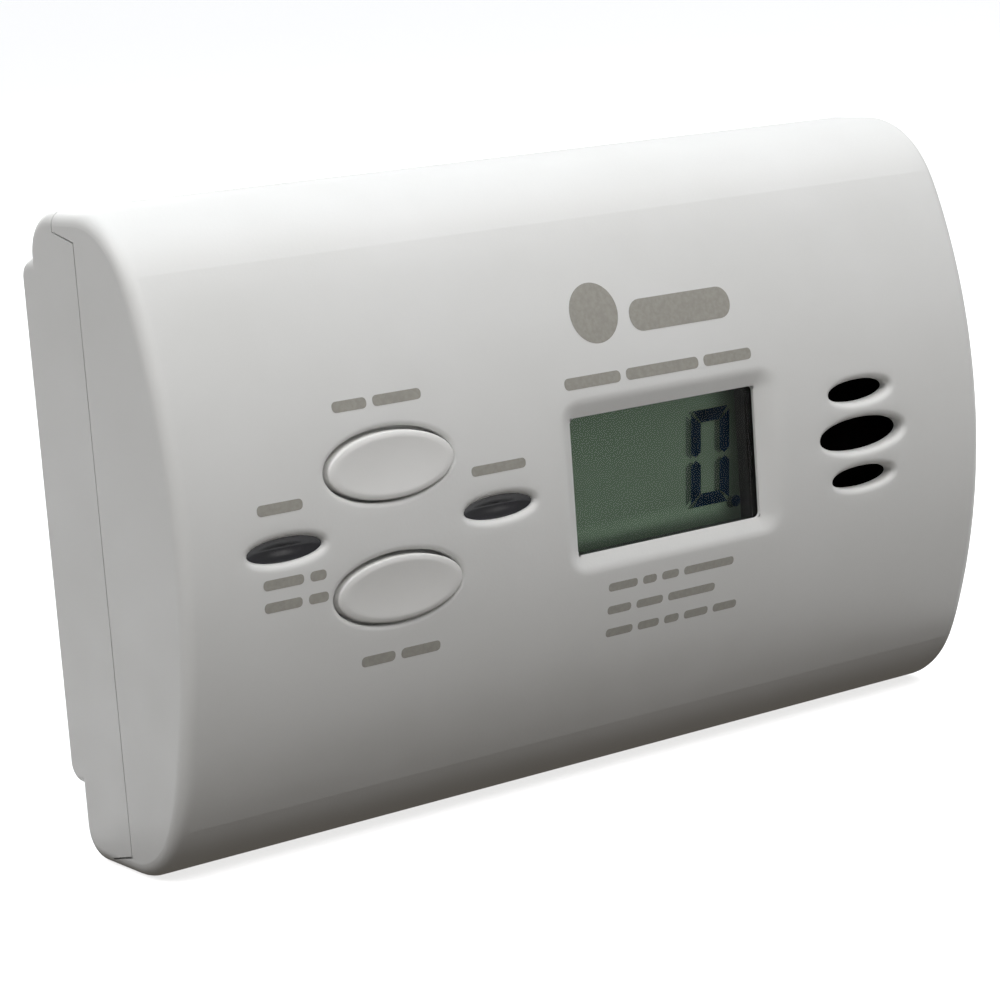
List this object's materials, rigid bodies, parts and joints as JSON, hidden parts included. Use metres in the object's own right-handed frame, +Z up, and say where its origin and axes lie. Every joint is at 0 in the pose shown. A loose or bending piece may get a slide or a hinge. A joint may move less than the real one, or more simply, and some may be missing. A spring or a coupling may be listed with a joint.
{
  "type": "carbon monoxide detector",
  "caption": "Wide white battery carbon monoxide detector with a bowed front, oval buttons, lamp windows, a small display, vents and a hinged rear battery door.",
  "frame": {"origin": "centre of the bounding box's footprint, at the height of the underside", "axes": "+X along the width, to the right as one faces the front; +Y from the front to the back; +Z up"},
  "size_m": [0.146, 0.0386, 0.092],
  "materials": {
    "cover_plastic": "satin white, finely textured",
    "button_plastic": "satin white, smoother than the cover",
    "black_plastic": "matt black",
    "plunger_plastic": "natural",
    "smoked_plastic": "dark smoked, glossy",
    "red_lamp": "tinted, glossy",
    "green_lamp": "tinted, glossy",
    "clear_plastic": "clear, polished",
    "foam": "matt black foam",
    "display_glass": "clear",
    "reflector": "grey-green polariser",
    "elastomer": "soft, striped",
    "brass_disc": "bright",
    "piezo_ceramic": "matt, silvered",
    "plated_steel": "nickel plated",
    "screen_mesh": "matt black",
    "board": "green lacquer",
    "capacitor_sleeve": "dark sleeve",
    "ferrite": "dark grey",
    "copper_wire": "enamelled copper",
    "chip_ceramic": "dark",
    "sensor_can": "drawn, satin",
    "sensor_cap": "satin",
    "label_paper": "blank, matt",
    "screw_steel": "zinc plated",
    "battery_case": "plain sleeve"
  },
  "bodies": {
    "housing": {"front_cover": "cover_plastic", "back_cover": "cover_plastic", "test_switch": "black_plastic", "peak_switch": "black_plastic", "alarm_lens": "smoked_plastic", "operate_lens": "smoked_plastic", "alarm_led": "red_lamp", "operate_led": "green_lamp", "display_window": "clear_plastic", "display_gasket": "foam", "display_holder": "black_plastic", "display_front_glass": "display_glass", "display_rear_glass": "display_glass", "display_reflector": "reflector", "display_connectors": "elastomer", "horn_housing": "black_plastic", "horn_gasket": "foam", "piezo_disc": "brass_disc", "piezo_ceramic": "piezo_ceramic", "horn_contacts": "plated_steel", "dust_screen": "screen_mesh", "circuit_board": "board", "microcontroller": "black_plastic", "microcontroller_leads": "plated_steel", "crystal": "plated_steel", "capacitors": "capacitor_sleeve", "inductor_core": "ferrite", "inductor_winding": "copper_wire", "resistors": "chip_ceramic", "co_sensor_can": "sensor_can", "co_sensor_cap": "sensor_cap", "co_sensor_pins": "plated_steel", "battery_springs": "plated_steel", "positive_contacts": "plated_steel", "negative_contacts": "plated_steel", "battery_pins": "plated_steel", "rear_label": "label_paper", "housing_screws": "screw_steel", "board_screws": "screw_steel", "battery_top": "battery_case", "battery_middle": "battery_case", "battery_bottom": "battery_case"},
    "test_button_body": {"test_button": "button_plastic", "test_plunger": "plunger_plastic"},
    "peak_button_body": {"peak_button": "button_plastic", "peak_plunger": "plunger_plastic"},
    "battery_door_body": {"battery_door": "cover_plastic"}
  },
  "joints": [
    {"name": "test_button_press", "type": "slide", "parent": "housing", "child": "test_button_body", "axis": [0, 1, 0], "range_m": [0, 0.0005], "stiffness_N_per_m": 250, "springref_m": -0.002},
    {"name": "peak_button_press", "type": "slide", "parent": "housing", "child": "peak_button_body", "axis": [0, 1, 0], "range_m": [0, 0.0005], "stiffness_N_per_m": 250, "springref_m": -0.002},
    {"name": "battery_door_hinge", "type": "hinge", "parent": "housing", "child": "battery_door_body", "pos_m": [-0.032, 0.01733, 0.02425], "axis": [-1, 0, 0], "range_deg": [0, 90]}
  ]
}
